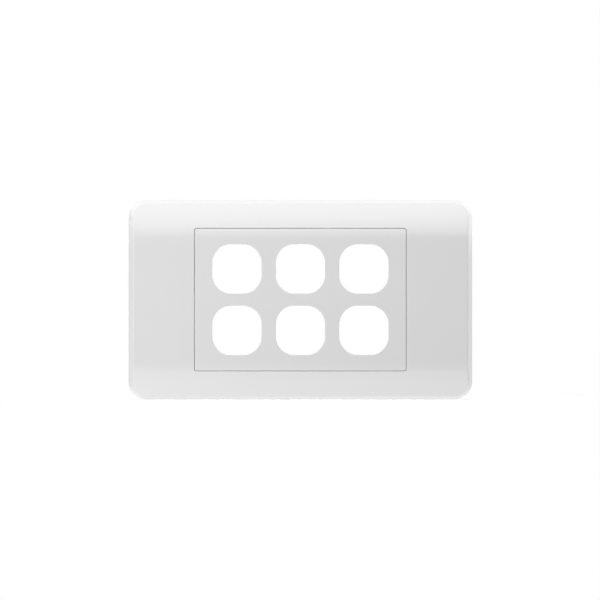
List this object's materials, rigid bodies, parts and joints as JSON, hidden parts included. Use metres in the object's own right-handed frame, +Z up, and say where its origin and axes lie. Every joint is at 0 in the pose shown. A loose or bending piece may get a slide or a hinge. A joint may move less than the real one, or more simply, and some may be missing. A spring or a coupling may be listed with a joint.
{
  "type": "switch plate",
  "caption": "Wall switch plate: a grid plate with rounded-square apertures for switch mechanisms, under a clip-on surround with a crowned front.",
  "frame": {"origin": "middle of the plate on the wall plane, midway between the two fixing slots", "axes": "+X to the right along the long side, +Y into the wall, +Z up; the front faces -Y"},
  "size_m": [0.126, 0.01, 0.073],
  "materials": {
    "grid_plastic": "gloss white",
    "surround_plastic": "gloss white"
  },
  "bodies": {
    "grid": {"grid_plate": "grid_plastic"},
    "cover": {"surround": "surround_plastic"}
  },
  "joints": [
    {"name": "surround_pull", "type": "slide", "parent": "grid", "child": "cover", "axis": [0, -1, 0], "range_m": [0, 0.02]}
  ]
}
